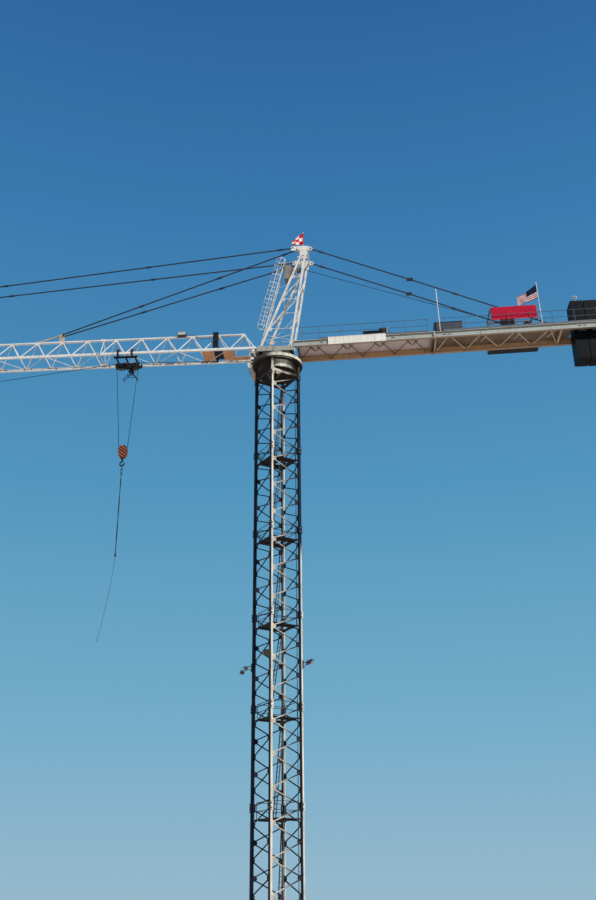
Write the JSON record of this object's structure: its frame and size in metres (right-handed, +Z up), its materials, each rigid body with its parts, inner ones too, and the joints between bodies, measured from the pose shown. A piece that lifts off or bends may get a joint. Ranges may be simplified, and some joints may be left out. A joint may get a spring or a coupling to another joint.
{
  "type": "tower crane, 1:10 scale model",
  "caption": "Hammerhead tower crane on a square lattice mast: slewing jib with trolley and hook, tied tower head, counter-jib with ballast, 1:10 scale model.",
  "frame": {"origin": "mast axis at the underside of the base frame", "axes": "+Z up the mast, jib along -X at rest, counter-jib along +X"},
  "size_m": [9.9954, 0.4681, 4.9346],
  "materials": {
    "mast_paint": "weathered paint, dull",
    "white_paint": "weathered off-white paint, semi-matt",
    "grey_paint": "grey-green paint, matt",
    "dark_paint": "dark paint with grease, semi-matt",
    "floor_steel": "rusty floor grating, matt",
    "cab_glass": "clear, slightly dusty",
    "block_paint": "orange-brown paint with dark stripes, worn",
    "rope_steel": "greased wire rope",
    "concrete": "dark painted concrete, matt",
    "red_cloth": "woven banner cloth",
    "flag_cloth": "woven flag cloth",
    "cord_fibre": "twisted fibre line",
    "board": "bare pale board, semi-matt"
  },
  "bodies": {
    "mast": {"base_frame": "mast_paint", "mast_section_1": "mast_paint", "mast_section_2": "mast_paint", "mast_section_3": "mast_paint", "mast_section_4": "mast_paint", "mast_section_5": "mast_paint", "mast_section_6": "mast_paint", "mast_landings": "mast_paint", "mast_ladders": "grey_paint", "mast_cable": "rope_steel", "work_lights": "dark_paint", "mast_neck": "mast_paint", "round_walkway": "white_paint"},
    "upper": {"slewing_ring": "grey_paint", "slewing_platform": "grey_paint", "operator_cab": "white_paint", "cab_glass": "cab_glass", "head_side_frames": "white_paint", "head_bracing": "white_paint", "apex_beam": "white_paint", "head_ladder": "white_paint", "head_basket": "floor_steel", "pennant_pole": "white_paint", "pennant": "flag_cloth", "jib_section_1": "white_paint", "jib_section_2": "white_paint", "jib_section_3": "white_paint", "jib_section_4": "white_paint", "jib_section_5": "white_paint", "jib_section_6": "white_paint", "jib_section_7": "white_paint", "jib_floor": "floor_steel", "trolley_winch": "dark_paint", "jib_inner_ties": "white_paint", "jib_outer_ties": "white_paint", "counter_jib": "grey_paint", "counter_jib_floor": "floor_steel", "counter_jib_rails": "grey_paint", "tie_post": "white_paint", "counter_jib_ties": "white_paint", "name_board": "board", "winch_frame": "grey_paint", "banner": "red_cloth", "control_boxes": "grey_paint", "hoist_winch": "dark_paint", "access_platform": "floor_steel", "flag_pole": "white_paint", "flag": "flag_cloth", "ballast_slabs": "concrete", "hoist_rope": "rope_steel", "trolley_rope": "rope_steel", "head_rope": "rope_steel"},
    "trolley": {"trolley_frame": "dark_paint", "trolley_sheaves": "rope_steel", "rope_falls": "rope_steel"},
    "hook_block": {"hook_block": "block_paint"},
    "hook": {"hook": "dark_paint", "sling": "rope_steel", "tag_line": "cord_fibre"}
  },
  "joints": [
    {"name": "slew", "type": "hinge", "parent": "mast", "child": "upper", "pos_m": [0, 0, 3.834], "axis": [0, 0, 1], "continuous": true},
    {"name": "trolley_travel", "type": "slide", "parent": "upper", "child": "trolley", "axis": [-1, 0, 0], "range_m": [-0.45, 6.1], "deforming": ["hoist_rope", "trolley_rope"]},
    {"name": "hoist", "type": "slide", "parent": "trolley", "child": "hook_block", "axis": [0, 0, 1], "range_m": [-1.72, 0.42], "deforming": ["rope_falls"]},
    {"name": "hook_swivel", "type": "hinge", "parent": "hook_block", "child": "hook", "pos_m": [-1.105, 0, 3.11], "axis": [0, 0, 1], "continuous": true}
  ]
}
